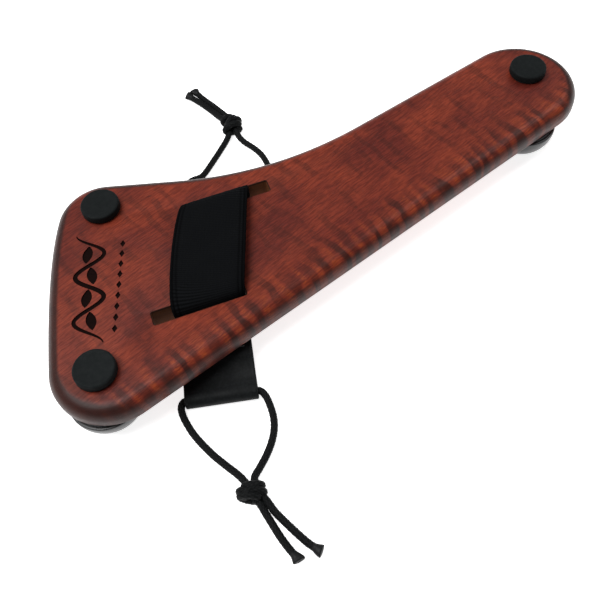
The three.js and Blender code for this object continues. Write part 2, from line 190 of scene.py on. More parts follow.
def between(tree, value, low, high, to_low=0.0, to_high=1.0):
    """Maps low..high to to_low..to_high, clamped and eased at both ends."""
    values = {
        "Value": value, "From Min": low, "From Max": high, "To Min": to_low, "To Max": to_high,
    }
    made = node(tree, "ShaderNodeMapRange", values, interpolation_type="SMOOTHSTEP")
    return made.outputs["Result"]


def calculate(tree, operation, *values):
    made = node(tree, "ShaderNodeMath", dict(enumerate(values)), operation=operation)
    return made.outputs["Value"]


def times(tree, first, second):
    return calculate(tree, "MULTIPLY", first, second)


def inverse(tree, value):
    return calculate(tree, "SUBTRACT", 1.0, value)


def vector_maths(tree, operation, *values):
    return node(tree, "ShaderNodeVectorMath", dict(enumerate(values)), operation=operation)


def dot(tree, first, second):
    return vector_maths(tree, "DOT_PRODUCT", first, second).outputs["Value"]


def mixed(tree, share, first, second, blend="MIX"):
    values = {0: share, 6: first, 7: second}
    return node(tree, "ShaderNodeMix", values, data_type="RGBA", blend_type=blend).outputs[2]


# Painted shade from the relief attribute: dark in the grooves of the elastic and the braid, light on
# their tops.
def painted_relief_shade(tree):
    return node(tree, "ShaderNodeAttribute", attribute_name="relief").outputs["Fac"]


def bump(tree, height, distance, strength=1.0, **normal):
    values = {"Height": height, "Distance": distance, "Strength": strength, **normal}
    return node(tree, "ShaderNodeBump", values).outputs["Normal"]


# -------- materials

MAPLE_DEEP = (0.102, 0.0135, 0.0085)
MAPLE_WARM = (0.196, 0.0285, 0.0125)
MAPLE_FLAME = (0.03, 0.0068, 0.0045)
MAPLE_AMBER = (0.25, 0.042, 0.011)
# The colour that the ends and upright rims are darkened towards: partly the end grain's heavier stain,
# partly painted shade.
MAPLE_END_AND_SHADE = (0.02, 0.0065, 0.005)
MAPLE_PORE = (0.022, 0.004, 0.003)
MAPLE_STREAK = ((0.68, 0.66, 0.66), (1.24, 1.34, 1.36))  # the stain times these, dark to light
FLAME_SCALE = 42.0  # bands about 7.5 mm apart
GRAIN_TURN = math.radians(-22.0)  # the grain runs almost along the plate's lower edge


def facing(tree):
    return node(tree, "ShaderNodeNewGeometry").outputs["Normal"]


def height_of(tree, vector):
    return node(tree, "ShaderNodeSeparateXYZ", {"Vector": vector}).outputs["Z"]


def sideways(tree):
    """0 where a surface faces up or down, 1 where it is upright."""
    size = calculate(tree, "ABSOLUTE", height_of(tree, facing(tree)))
    return between(tree, size, 0.55, 0.998, 1.0, 0.0)


def end_grain_and_shade(tree):
    """1 where the surface cuts across the grain. The darkening it drives is partly the end grain's
    heavier stain and partly painted shade on the plate's ends.
    """
    grain = (math.cos(GRAIN_TURN), -math.sin(GRAIN_TURN), 0)
    size = calculate(tree, "ABSOLUTE", dot(tree, facing(tree), grain))
    return between(tree, size, 0.03, 0.24)


def lower_edge(tree):
    """1 along the plate's lower edge, where the flame is strongest, and 0 further in."""
    outwards = (0.309, -0.951, 0)
    return between(tree, dot(tree, place(tree), outwards), 0.0065, 0.0215)


def warped(tree, scale, amount, size):
    """The grain's coordinates, shaken sideways by up to amount metres over spots of 1 / size."""
    grain = place(tree, turn=GRAIN_TURN)
    shake = node(tree, "ShaderNodeTexNoise", {"Vector": grain, "Scale": size, "Detail": 2.0})
    centred = vector_maths(tree, "SUBTRACT", shake.outputs["Color"], (0.5, 0.5, 0.5))
    moved = vector_maths(
        tree, "MULTIPLY_ADD", centred.outputs["Vector"], (2 * amount,) * 3, grain
    )
    return mapped(tree, moved.outputs["Vector"], scale)


def maple_flame(tree, figured):
    """How strong the dark flame is, and how strong the amber between its bands."""
    bands = banded(tree, {
        "Vector": warped(tree, (1, 0.35, 0.12), 0.0022, 110.0), "Scale": FLAME_SCALE,
        "Distortion": 8.5, "Detail": 3.0, "Detail Scale": 1.0, "Detail Roughness": 0.55,
    })
    patch = noise(tree, warped(tree, (1.6, 0.7, 0.7), 0.004, 80.0), 70.0, 3.0, 0.55)
    patch = between(tree, patch, 0.4, 0.62)
    faint = times(tree, patch, 0.34)
    strong = between(tree, patch, 0.0, 1.0, 0.55, 1.0)
    more = times(tree, figured, calculate(tree, "SUBTRACT", strong, faint))
    depth = calculate(tree, "ADD", faint, more)
    fleck = noise(tree, warped(tree, (300, 1100, 1100), 0.0008, 220.0), 1.0, 2.0, 0.6)
    amber = times(tree, between(tree, bands, 0.35, 0.05), figured)
    amber = times(tree, amber, between(tree, fleck, 0.38, 0.66, 0.15, 0.85))
    return times(tree, between(tree, bands, 0.38, 0.8), depth), amber


def maple_look(tree):
    side = sideways(tree)
    figured = calculate(tree, "MAXIMUM", side, times(tree, lower_edge(tree), 0.8))
    flame, amber = maple_flame(tree, figured)
    blotch = noise(tree, warped(tree, (1, 1.4, 1), 0.006, 60.0), 34.0, 4.0, 0.6)
    warm = mixed(tree, between(tree, blotch, 0.32, 0.7), MAPLE_DEEP, MAPLE_WARM)
    stain = mixed(tree, amber, mixed(tree, flame, warm, MAPLE_FLAME), MAPLE_AMBER)

    streak = noise(tree, warped(tree, (150, 1500, 1500), 0.0006, 200.0), 1.0, 3.0, 0.6)
    lines = mixed(tree, between(tree, streak, 0.33, 0.68), *MAPLE_STREAK)
    grained = mixed(tree, 1.0, stain, lines, "MULTIPLY")

    # Darker ends and rims: the ends partly take up more stain and are partly painted shade; the
    # darkening of every upright rim is painted shade.
    stain_and_shade_ends = times(tree, end_grain_and_shade(tree), 0.9)
    painted_rim_shade = between(tree, side, 0.62, 0.98, 0.0, 0.6)
    grained = mixed(tree, calculate(tree, "MAXIMUM", stain_and_shade_ends, painted_rim_shade), grained, MAPLE_END_AND_SHADE)

    pore = noise(tree, place(tree, (260, 3200, 3200), GRAIN_TURN), 1.0, 1.0)
    pore = between(tree, pore, 0.63, 0.73)
    pores = bump(tree, inverse(tree, pore), 0.00003)
    return {
        "Base Color": mixed(tree, times(tree, pore, 0.35), grained, MAPLE_PORE),
        "Roughness": between(tree, streak, 0.3, 0.7, 0.46, 0.38),
        "Normal": bump(tree, streak, 0.00002, 0.6, Normal=pores),
        "Specular IOR Level": 0.17, "Coat Weight": 0.04, "Coat Roughness": 0.2,
    }


def slot_wall_look(tree):
    """Bare, singed wood inside the slots."""
    streak = noise(tree, place(tree, (60, 60, 900)), 1.0, 3.0, 0.6)
    height = height_of(tree, place(tree))
    singed = between(tree, height, PLATE_TOP - 0.0012, PLATE_TOP - 0.0002)
    wood = mixed(tree, streak, (0.085, 0.028, 0.009), (0.15, 0.052, 0.017))
    return {
        "Base Color": mixed(tree, times(tree, singed, 0.9), wood, (0.012, 0.005, 0.004)),
        "Normal": bump(tree, streak, 0.00006),
        "Roughness": 0.75, "Specular IOR Level": 0.1,
    }


def burnt_look(tree):
    soot = noise(tree, place(tree), 900.0, 3.0, 0.6)
    return {
        "Base Color": mixed(tree, soot, (0.002, 0.0009, 0.0008), (0.009, 0.003, 0.0022)),
        "Normal": bump(tree, soot, 0.0001),
        "Roughness": 0.85, "Specular IOR Level": 0.05,
    }


def rubber_look(tree):
    """Matt rubber with a little dust in its grain."""
    dust = noise(tree, place(tree), 420.0, 4.0, 0.62)
    cloud = noise(tree, place(tree), 90.0, 2.0)
    dark = mixed(tree, cloud, (0.004, 0.0054, 0.0056), (0.0078, 0.0098, 0.0102))
    speck = between(tree, dust, 0.62, 0.76, 0.0, 0.4)
    grain = noise(tree, place(tree), 2600.0, 2.0, 0.6)
    return {
        "Base Color": mixed(tree, speck, dark, (0.022, 0.024, 0.024)),
        "Roughness": between(tree, dust, 0.3, 0.7, 0.62, 0.82),
        "Normal": bump(tree, grain, 0.00005, 0.7),
        "Specular IOR Level": 0.11,
    }


def pad_rubber_look(tree):
    cloud = noise(tree, place(tree), 60.0, 3.0, 0.55)
    smear = noise(tree, place(tree, (1, 1, 3)), 140.0, 4.0, 0.6, 0.5)
    skin = noise(tree, place(tree), 1500.0, 2.0)
    return {
        "Base Color": mixed(tree, cloud, (0.006, 0.0066, 0.007), (0.0115, 0.0122, 0.0128)),
        "Roughness": between(tree, smear, 0.3, 0.75, 0.2, 0.34),
        "Normal": bump(tree, skin, 0.00002, 0.5),
    }


def tape_look(tree):
    values = {"Vector": place(tree), "Scale": 2200.0}
    cell = node(tree, "ShaderNodeTexVoronoi", values).outputs["Distance"]
    return {
        "Base Color": mixed(tree, cell, (0.02, 0.021, 0.022), (0.06, 0.063, 0.066)),
        "Normal": bump(tree, cell, 0.0001),
        "Roughness": 0.85,
    }


def elastic_look(tree):
    fibre = noise(tree, cloth_place(tree, (2600, 1500, 1)), 1.0, 3.0, 0.6)
    wear = noise(tree, place(tree), 75.0, 3.0, 0.55)
    warp = banded(tree, {
        "Vector": cloth_place(tree), "Scale": 215.0,
        "Distortion": 0.6, "Detail": 1.0, "Detail Scale": 3.0,
    })
    # Painted shade: near black in the grooves between the ribs and along the selvedges, lighter on the
    # rib tops; lighter worn patches go over it.
    dark = mixed(tree, painted_relief_shade(tree), (0, 0, 0.0001), (0.0058, 0.0064, 0.0073))
    shade_and_wear = mixed(tree, between(tree, wear, 0.45, 0.75, 0.0, 0.1), dark, (0.008, 0.0085, 0.0093))
    lint = times(tree, between(tree, fibre, 0.55, 0.8), 0.2)
    threads = bump(tree, warp, 0.00005, 0.7)
    return {
        "Base Color": mixed(tree, lint, shade_and_wear, (0.011, 0.0117, 0.0125)),
        "Normal": bump(tree, fibre, 0.00005, 0.6, Normal=threads),
        "Roughness": 0.85, "Sheen Weight": 0.004, "Sheen Roughness": 0.5,
        "Specular IOR Level": 0.03,
    }


def leather_look(tree):
    values = {"Vector": cloth_place(tree), "Scale": 1150.0, "Smoothness": 0.6}
    pebbles = node(tree, "ShaderNodeTexVoronoi", values, feature="SMOOTH_F1")
    pebble = pebbles.outputs["Distance"]
    cloud = noise(tree, place(tree), 130.0, 4.0, 0.6)
    dark = mixed(tree, cloud, (0.0045, 0.0054, 0.0058), (0.0095, 0.0108, 0.0115))
    # Painted shade: the leather is darker between the pebbles of its grain, where the bump sinks.
    shade_and_wear = between(tree, pebble, 0.25, 0.65, 0.0, 0.55)
    fine = bump(tree, noise(tree, cloth_place(tree), 3600.0, 2.0), 0.00003, 0.5)
    return {
        "Base Color": mixed(tree, shade_and_wear, dark, (0.0025, 0.0029, 0.0031)),
        "Roughness": between(tree, cloud, 0.3, 0.7, 0.5, 0.66),
        "Normal": bump(tree, inverse(tree, pebble), 0.00006, 0.55, Normal=fine),
        "Specular IOR Level": 0.1,
    }


def thread_look(tree):
    ply = noise(tree, place(tree), 3200.0, 2.0, 0.6)
    return {
        "Base Color": mixed(tree, ply, (0.01, 0.011, 0.012), (0.045, 0.048, 0.05)),
        "Normal": bump(tree, ply, 0.00005),
        "Roughness": 0.6, "Sheen Weight": 0.15,
    }


def cord_look(tree):
    fibre = noise(tree, place(tree), 2400.0, 3.0, 0.65)
    # Painted shade: the cord is near black between the braid's lozenges and lighter on their tops.
    dark = mixed(tree, painted_relief_shade(tree), (0.0006, 0.0007, 0.0008), (0.0095, 0.0104, 0.011))
    glint = times(tree, between(tree, fibre, 0.58, 0.78), 0.28)
    return {
        "Base Color": mixed(tree, glint, dark, (0.045, 0.048, 0.05)),
        "Normal": bump(tree, fibre, 0.00006, 0.7),
        "Roughness": 0.66, "Sheen Weight": 0.03, "Sheen Roughness": 0.4,
        "Specular IOR Level": 0.09,
    }


def melted_look(tree):
    lumps = noise(tree, place(tree), 900.0, 3.0, 0.6)
    return {
        "Base Color": mixed(tree, lumps, (0.002, 0.0023, 0.0026), (0.0075, 0.0082, 0.0088)),
        "Roughness": between(tree, lumps, 0.35, 0.7, 0.45, 0.7),
        "Normal": bump(tree, lumps, 0.00012, 0.8),
        "Specular IOR Level": 0.18,
    }


def floor_look(tree):
    grain = noise(tree, place(tree), 300.0, 2.0)
    return {
        "Base Color": mixed(tree, grain, (0.9, 0.9, 0.9), (0.93, 0.93, 0.93)),
        "Roughness": 0.9, "Specular IOR Level": 0.1,
        "Emission Color": (1, 1, 1), "Emission Strength": 0.8,
    }


MAPLE = make_material("stained_maple", maple_look)
SLOT_WALL = make_material("slot_wall_wood", slot_wall_look)
BURNT = make_material("burnt_engraving", burnt_look)
RUBBER = make_material("matte_rubber", rubber_look)
PAD_RUBBER = make_material("smooth_pad_rubber", pad_rubber_look)
TAPE = make_material("foam_tape", tape_look)
ELASTIC = make_material("woven_elastic", elastic_look)
LEATHER = make_material("black_tab_leather", leather_look)
THREAD = make_material("sewing_thread", thread_look)
CORD = make_material("braided_cord", cord_look)
MELTED = make_material("melted_cord_end", melted_look)

# -------- curves and meshes


def along(angle, length):
    return np.array([math.cos(angle), math.sin(angle)]) * length


def unit(vectors):
    vectors = np.asarray(vectors, float)
    return vectors / np.linalg.norm(vectors, axis=-1, keepdims=True)


def full_turn(count):
    return np.linspace(0, 2 * math.pi, count, endpoint=False)


def turned_to(points, at, turn):
    """Plan points, turned and then moved to at."""
    ways = np.array([along(turn, 1), along(turn + math.pi / 2, 1)])
    return np.asarray(points) @ ways + np.array(at)


def smooth_curve(points, step):
    """Evenly spaced points on the centripetal curve through points, with its ends kept."""
    p = np.array(points, float)
    p = np.vstack([2 * p[0] - p[1], p, 2 * p[-1] - p[-2]])
    fine = []
    for k in range(1, len(p) - 2):
        a, b, c, d = p[k - 1:k + 3]
        gaps = np.linalg.norm([b - a, c - b, d - c], axis=1)
        t0, (t1, t2, t3) = 0.0, np.cumsum(gaps ** 0.5)
        t = np.linspace(t1, t2, 40, endpoint=False)[:, None]
        ab = (a * (t1 - t) + b * (t - t0)) / (t1 - t0)
        bc = (b * (t2 - t) + c * (t - t1)) / (t2 - t1)
        cd = (c * (t3 - t) + d * (t - t2)) / (t3 - t2)
        abc = (ab * (t2 - t) + bc * (t - t0)) / (t2 - t0)
        bcd = (bc * (t3 - t) + cd * (t - t1)) / (t3 - t1)
        fine.append((abc * (t2 - t) + bcd * (t - t1)) / (t2 - t1))
    return evenly(np.vstack([*fine, p[-2:-1]]), step)


def evenly(points, step):
    run = lengths(points)
    stops = np.linspace(0, run[-1], max(2, int(round(run[-1] / step)) + 1))
    return np.stack([np.interp(stops, run, points[:, k]) for k in range(points.shape[1])], 1)


def lengths(points):
    """How far along the line each of its points lies."""
    return np.concatenate([[0], np.cumsum(np.linalg.norm(np.diff(points, axis=0), axis=1))])


def transported(path, side):
    """Side and up at each point, turned along the path without twist."""
    tangents = unit(np.gradient(path, axis=0))
    sides = []
    for tangent in tangents:
        side = unit(side - tangent * (side @ tangent))
        sides.append(side)
    return np.array(sides), np.cross(tangents, sides)


def lofted(rings):
    """Vertices and faces of the closed skin over rings of equally many points."""
    rings = np.array(rings)
    count, sides = rings.shape[:2]
    start = np.arange(count - 1)[:, None] * sides
    here = start + np.arange(sides)
    onward = start + (np.arange(sides) + 1) % sides
    faces = np.stack([here, onward, onward + sides, here + sides], -1).reshape(-1, 4).tolist()
    faces.append(list(range(sides))[::-1])
    faces.append([(count - 1) * sides + k for k in range(sides)])
    return rings.reshape(-1, 3), faces


def join_lofts(parts):
    """One vertex array and face list from several (vertices, faces) pairs."""
    points, faces, start = [], [], 0
    for vertices, own in parts:
        points.append(vertices)
        faces.extend([[start + k for k in face] for face in own])
        start += len(vertices)
    return np.vstack(points), faces


def make_piece(name, vertices, faces, material, sharp=35.0):
    mesh = bpy.data.meshes.new(name)
    mesh.from_pydata(vertices.tolist(), [], faces)
    work = bmesh.new()
    work.from_mesh(mesh)
    bmesh.ops.recalc_face_normals(work, faces=work.faces)
    work.to_mesh(mesh)
    work.free()
    mesh.materials.append(material)
    piece = add_object(name, mesh)
    smooth(piece, sharp)
    return piece


def smooth(piece, sharp):
    piece.data.polygons.foreach_set("use_smooth", [True] * len(piece.data.polygons))
    piece.data.set_sharp_from_angle(angle=math.radians(sharp))


# The relief attribute carries painted shade: the elastic's and the cord's colours are darker where it
# is low.
def set_relief(piece, values):
    made = piece.data.attributes.new("relief", "FLOAT", "POINT")
    made.data.foreach_set("value", np.asarray(values, np.float32))


def set_ribbon_places(piece, places):
    """A UV map whose numbers are metres across and along the ribbon."""
    layer = piece.data.uv_layers.new(name="ribbon")
    corner = np.zeros(len(piece.data.loops), np.int32)
    piece.data.loops.foreach_get("vertex_index", corner)
    layer.data.foreach_set("uv", places[corner].astype(np.float32).ravel())


def settle(piece, body, slot, *cad_names):
    """Puts a piece on its body and hides the pieces of the CAD that it takes the place of. The slot is
    not used.
    """
    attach(piece, body)
    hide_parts(*cad_names)


# -------- cords

# The middle of each tunnel, the plan angle of the way out of the plate, the fall of the tab, its
# length from the tunnel to the sewn end, the strap's centre in its slot, the slot wall that it lies
# against, and the side of the plate, along Y, that it hangs from.
LOWER_END = {
    "tunnel": np.array([-0.07097, -0.05511, 0.0034]), "heading": math.radians(-102.2),
    "slope": math.radians(18.5), "length": 0.021, "strap_x": -0.064, "wall_y": -0.0278, "side": -1,
}
UPPER_END = {
    "tunnel": np.array([-0.0376, 0.0459, 0.0034]), "heading": math.radians(69.5),
    "slope": math.radians(24.0), "length": 0.019, "strap_x": -0.0465, "wall_y": 0.0244, "side": 1,
}

# Each cord's line from the tab on, in millimetres: out of the tunnel's mouth and over the surface
# that the rest stands on, through the knot and on to its sealed end. It keeps close to the CAD's cord.
LOWER_LEFT_ROUTE = [
    (-84.6, -52.2, 3.4), (-86.1, -52.6, 3.3), (-87.15, -54.05, 3.1), (-87.5, -56.1, 2.7),
    (-87.4, -58.4, 2.3), (-86.9, -61.2, 1.9), (-85.9, -65.2, 1.7), (-84.0, -70.2, 1.7),
    (-80.9, -76.7, 1.7), (-77.6, -82.3, 1.9), (-74.0, -88.5, 2.8), (-72.55, -92.5, 3.4),
    (-71.8, -96.5, 3.4), (-70.35, -100.5, 2.6), (-69.6, -103.9, 1.9), (-68.7, -108.0, 1.7),
    (-67.3, -114.0, 1.7), (-65.8, -118.8, 1.8), (-64.7, -121.7, 2.2),
]
LOWER_RIGHT_ROUTE = [
    (-57.29, -58.07, 3.4), (-55.9, -59.0, 3.2), (-54.9, -61.4, 2.8), (-54.6, -65.6, 2.1),
    (-54.9, -70.2, 1.7), (-56.3, -75.0, 1.7), (-58.9, -79.6, 1.7), (-62.4, -83.8, 1.7),
    (-66.1, -87.4, 1.9), (-69.2, -90.7, 2.7), (-69.4, -94.2, 3.4), (-68.6, -97.9, 3.4),
    (-67.4, -101.3, 2.7), (-66.4, -104.5, 2.0), (-65.1, -107.4, 1.7), (-63.1, -111.5, 1.7),
    (-60.9, -115.8, 1.7), (-58.7, -119.7, 1.8), (-57.1, -121.9, 2.2),
]
UPPER_LEFT_ROUTE = [
    (-50.6, 50.65, 3.4), (-52.5, 51.4, 3.3), (-53.95, 53.0, 3.0), (-54.1, 55.1, 2.6),
    (-52.85, 56.8, 2.2), (-50.8, 57.55, 1.9), (-48.5, 57.75, 1.7), (-46.4, 58.5, 1.7),
    (-44.5, 60.0, 1.7), (-38.1, 66.4, 1.7), (-33.3, 71.4, 1.7), (-29.5, 75.3, 2.1),
    (-27.0, 78.7, 2.7), (-26.1, 82.8, 3.4), (-26.4, 86.2, 3.3), (-27.1, 89.4, 2.7),
    (-28.25, 92.8, 2.0), (-29.7, 96.7, 1.7), (-31.5, 100.8, 1.7), (-33.8, 105.3, 1.8),
    (-36.0, 109.1, 1.9), (-37.4, 111.2, 2.2),
]
UPPER_RIGHT_ROUTE = [
    (-24.3, 40.95, 3.4), (-21.6, 40.7, 3.3), (-19.2, 42.1, 2.9), (-17.1, 45.6, 2.3),
    (-15.9, 50.4, 1.8), (-15.7, 55.5, 1.7), (-16.6, 61.2, 1.7), (-18.8, 66.6, 1.7),
    (-21.5, 71.4, 1.8), (-23.0, 75.6, 2.5), (-23.1, 79.8, 3.4), (-23.3, 84.0, 3.5),
    (-23.9, 87.6, 3.1), (-24.8, 91.2, 2.6), (-26.55, 96.4, 1.9), (-28.3, 100.8, 1.7),
    (-30.6, 105.6, 1.7), (-32.5, 109.8, 1.8), (-33.8, 112.7, 2.2),
]
IN_TUNNEL = (0.00015, 0.004, 0.008, 0.012)  # each line's first points, from the tunnel's middle

CORD_SIDES = 40
CORD_STEP = 0.00026
BRAID_STRANDS = 8  # strands that wind each way
BRAID_PITCH = 0.0021  # length of one lozenge of the braid
BRAID_DEPTH = 0.11  # of the radius, between the lozenges
BRAID_START = np.array([0.3, 0.2, 1.0])  # the side from which the strands are counted
SMALLEST_GAP = 0.00005  # between a cord and the table


def braided_tube(path, radius):
    """Vertices, faces and relief of a round cord whose surface stands up in a braid's lozenges. The
    relief also paints shade between the lozenges.
    """
    sides, ups = transported(path, BRAID_START)
    turn, run = np.meshgrid(full_turn(CORD_SIDES), lengths(path))
    lead = run * 2 * math.pi / BRAID_PITCH
    one_way = 0.5 + 0.5 * np.cos(BRAID_STRANDS * turn + lead)
    other_way = 0.5 + 0.5 * np.cos(BRAID_STRANDS * turn - lead)
    relief = np.sqrt(one_way * other_way)
    reach = radius * (1 - BRAID_DEPTH + BRAID_DEPTH * relief)
    rings = (
        path[:, None, :]
        + sides[:, None, :] * (np.cos(turn) * reach)[..., None]
        + ups[:, None, :] * (np.sin(turn) * reach)[..., None]
    )
    return *lofted(rings), relief.ravel()


def make_braid(name, paths, radius, body, *cad_names):
    """One piece of braided cord along one or more paths."""
    tubes = [braided_tube(path, radius) for path in paths]
    vertices, faces = join_lofts([tube[:2] for tube in tubes])
    vertices[:, 2] = np.maximum(vertices[:, 2], SMALLEST_GAP)
    piece = make_piece(name, vertices, faces, CORD, sharp=70)
    set_relief(piece, np.concatenate([tube[2] for tube in tubes]))
    settle(piece, body, "cord", *cad_names)
    return piece


# Each turn of a knot, in millimetres and degrees: how far along the cords its middle lies, its half
# width across them and its half height, its lean in plan, the angle at which it comes up out of the
# knot and how far round it goes. The last one of each knot is drawn aslant over the others.
LOWER_KNOT = {
    "at": (-0.0718, -0.0957), "height": 0.004, "heading": math.radians(-112),
    "turns": [
        (-2.2, 3.8, 2.4, 5, 190, 345), (0.1, 4.5, 2.6, -2, 280, 345),
        (2.2, 3.9, 2.4, -5, 5, 340), (-0.2, 3.4, 3.0, 36, -20, 225),
    ],
}
UPPER_KNOT = {
    "at": (-0.0239, 0.0829), "height": 0.0041, "heading": math.radians(96),
    "turns": [
        (-2.8, 4.5, 2.5, -4, 190, 345), (0.2, 4.1, 2.8, 6, 10, 340),
        (3.0, 3.7, 2.5, -6, 150, 330), (0.4, 3.4, 3.2, 34, -20, 230),
    ],
}
KNOT_CORD_RADIUS = 0.0015
KNOT_DRIFT = 0.0011  # how far a turn moves on along the cords
KNOT_TUCK = 0.75  # how far its ends dive in, of the way to its middle


def knot_turn(knot, turn):
    """The line of one turn: both of its ends dive into the knot."""
    u, v, w = np.array(turn[:3]) / 1000
    lean, start, sweep = np.radians(turn[3:])
    share = np.linspace(0, 1, 60)
    angle = start + sweep * share
    tuck = 1 - KNOT_TUCK * (2 * np.abs(share - 0.5)) ** 7
    flat = np.column_stack([u + KNOT_DRIFT * (share - 0.5), v * np.cos(angle) * tuck])
    plan = turned_to(flat, knot["at"], knot["heading"] + lean)
    return evenly(np.column_stack([plan, knot["height"] + w * np.sin(angle) * tuck]), CORD_STEP)


# Distance along the cord, half width in plan and half height of the end's sections.
TIP_PROFILE = [
    (-0.001, 0.00136, 0.00136), (-0.0004, 0.0015, 0.00146), (0.0003, 0.00172, 0.0015),
    (0.001, 0.00196, 0.0015), (0.0017, 0.00218, 0.00148), (0.0022, 0.0023, 0.00142),
    (0.0025, 0.0023, 0.00134), (0.0027, 0.0022, 0.0012), (0.0028, 0.00195, 0.00095),
    (0.00275, 0.0012, 0.00055), (0.0027, 0.0003, 0.00015),
]
TIP_SIDES = 28
TIP_PHASE = 1.7  # where a tip's lumps start


def make_tip(name, path, phase, body, cad_name):
    """The flared, flattened end that cutting the cord with heat leaves, a little lumpy."""
    tangent = unit(path[-1] - path[-8])
    side = unit(np.cross(tangent, (0, 0, 1)))
    up = np.cross(side, tangent)
    turn = full_turn(TIP_SIDES)
    rings = []
    for offset, half_width, half_height in TIP_PROFILE:
        lump = 1 + 0.03 * np.sin(3 * turn + phase + 900 * offset) + 0.02 * np.sin(5 * turn - phase)
        slant = np.cos(turn) * half_width * 0.22 * max(0, offset) / TIP_PROFILE[-1][0]
        rings.append(
            path[-1]
            + np.outer(offset + slant * math.copysign(1, phase), tangent)
            + np.outer(np.cos(turn) * half_width * lump, side)
            + np.outer(np.sin(turn) * half_height * lump, up)
        )
    piece = make_piece(name, *lofted(rings), MELTED, 60)
    settle(piece, body, "cord", cad_name)
    return piece


def across_tab(end):
    return np.append(along(end["heading"] + math.pi / 2, 1), 0)


def in_tunnel(end, hand, distance):
    """A point of the tunnel: hand is 1 on the side that the tab's width points to."""
    return end["tunnel"] + across_tab(end) * hand * distance


def make_cords(prefix, end, knot, *cords):
    """Each cord: its name, the CAD tail that it ends in, its route, its tunnel mouth and its length,
    which is not used.
    """
    body = f"{prefix}_loop"
    turns = make_braid(
        f"{prefix}_knot_turns", [knot_turn(knot, turn) for turn in knot["turns"]],
        KNOT_CORD_RADIUS, body, f"{prefix}_knot",
    )
    for name, tail, route, hand, length in cords:
        line = [*np.round([in_tunnel(end, hand, distance) for distance in IN_TUNNEL], 5)]
        line.extend(np.array(route) / 1000)
        path = smooth_curve(line, CORD_STEP)
        cord = make_braid(
            f"{prefix}_braided_cord_{name}", [path], CORD_DIAMETER / 2, body,
            f"{prefix}_cord_{name}", f"{prefix}_tail_{tail}",
        )
        tip = make_tip(
            f"{prefix}_melted_tip_{tail}", path, TIP_PHASE * hand, body, f"{prefix}_tip_{tail}"
        )


make_cords(
    "lower", LOWER_END, LOWER_KNOT,
    ("left", "a", LOWER_LEFT_ROUTE, -1, 0.0897), ("right", "b", LOWER_RIGHT_ROUTE, 1, 0.087),
)
make_cords(
    "upper", UPPER_END, UPPER_KNOT,
    ("left", "b", UPPER_LEFT_ROUTE, 1, 0.0926), ("right", "a", UPPER_RIGHT_ROUTE, -1, 0.0949),
)

# -------- plate


def crossing(a, angle_a, b, angle_b):
    """Where the line through a at angle_a meets the line through b at angle_b."""
    way_a, way_b = along(angle_a, 1), along(angle_b, 1)
    gap = b - a
    reach = (gap[0] * way_b[1] - gap[1] * way_b[0]) / (way_a[0] * way_b[1] - way_a[1] * way_b[0])
    return a + way_a * reach


def on_circle(circle, angle):
    return np.array(circle[:2]) + along(angle, circle[2])


def arc(circle, start, end, step=math.radians(2.0)):
    count = max(2, math.ceil((end - start) / step))
    return [on_circle(circle, start + (end - start) * k / count) for k in range(count + 1)]


def bow_curve(start, control, end):
    t = np.linspace(0, 1, 25)[:, None]
    return start * (1 - t) ** 2 + control * 2 * t * (1 - t) + end * t * t


def plate_outline():
    """The plate's edge, anticlockwise, by the same arcs and curves as in the CAD."""
    quarter = math.pi / 2
    across = NARROW_END[0] - LOWER_CORNER[0]
    rise = NARROW_END[1] - LOWER_CORNER[1]
    taper = math.asin((NARROW_END[2] - LOWER_CORNER[2]) / math.hypot(across, rise))
    lower_slope = math.atan2(rise, across) - taper
    end_top = on_circle(NARROW_END, RIGHT_SLOPE + quarter)
    corner_top = on_circle(UPPER_CORNER, LEFT_SLOPE + quarter)
    waist = crossing(end_top, RIGHT_SLOPE, corner_top, LEFT_SLOPE)
    waist_start = waist + along(RIGHT_SLOPE, WAIST_RIGHT)
    waist_end = waist - along(LEFT_SLOPE, WAIST_LEFT)
    corner_side = on_circle(UPPER_CORNER, UPPER_CORNER_END)
    lower_side = on_circle(LOWER_CORNER, LOWER_CORNER_START)
    bow = crossing(
        corner_side, UPPER_CORNER_END + quarter, lower_side, LOWER_CORNER_START + quarter
    )
    points = [
        *arc(NARROW_END, lower_slope - quarter, RIGHT_SLOPE + quarter),
        *bow_curve(waist_start, waist, waist_end),
        *arc(UPPER_CORNER, LEFT_SLOPE + quarter, UPPER_CORNER_END),
        *bow_curve(corner_side, bow, lower_side),
        *arc(LOWER_CORNER, LOWER_CORNER_START, lower_slope + 3 * quarter),
    ]
    kept = [points[0]]
    for point in points[1:]:
        if np.linalg.norm(point - kept[-1]) > 0.0002:
            kept.append(point)
    return np.array(kept)


def left_of(ways):
    return unit(np.column_stack([-ways[:, 1], ways[:, 0]]))


def inset_ring(outline, inset, height):
    before = outline - np.roll(outline, 1, axis=0)
    after = np.roll(outline, -1, axis=0) - outline
    return at_height(outline + unit(left_of(before) + left_of(after)) * inset, height)


def at_height(flat, height):
    return np.column_stack([flat, np.full(len(flat), height)])


def rounded_levels(low_round, low_count, high_round, high_count):
    """(inset, height) up a wall of the plate whose lower and upper edges are rounded over."""
    low = [
        (low_round * (1 - math.sin(angle)), PLATE_BOTTOM + low_round * (1 - math.cos(angle)))
        for angle in np.linspace(0, math.pi / 2, low_count)
    ]
    high = [
        (high_round * (1 - math.cos(angle)), PLATE_TOP - high_round * (1 - math.sin(angle)))
        for angle in np.linspace(0, math.pi / 2, high_count)
    ]
    return low + high


def plate_shape():
    outline = plate_outline()
    levels = [
        (BOTTOM_ROUND + 0.0004, PLATE_BOTTOM),
        *rounded_levels(BOTTOM_ROUND, 7, TOP_ROUND, 15),
        (TOP_ROUND + 0.0005, PLATE_TOP),
    ]
    return lofted([inset_ring(outline, inset, height) for inset, height in levels])


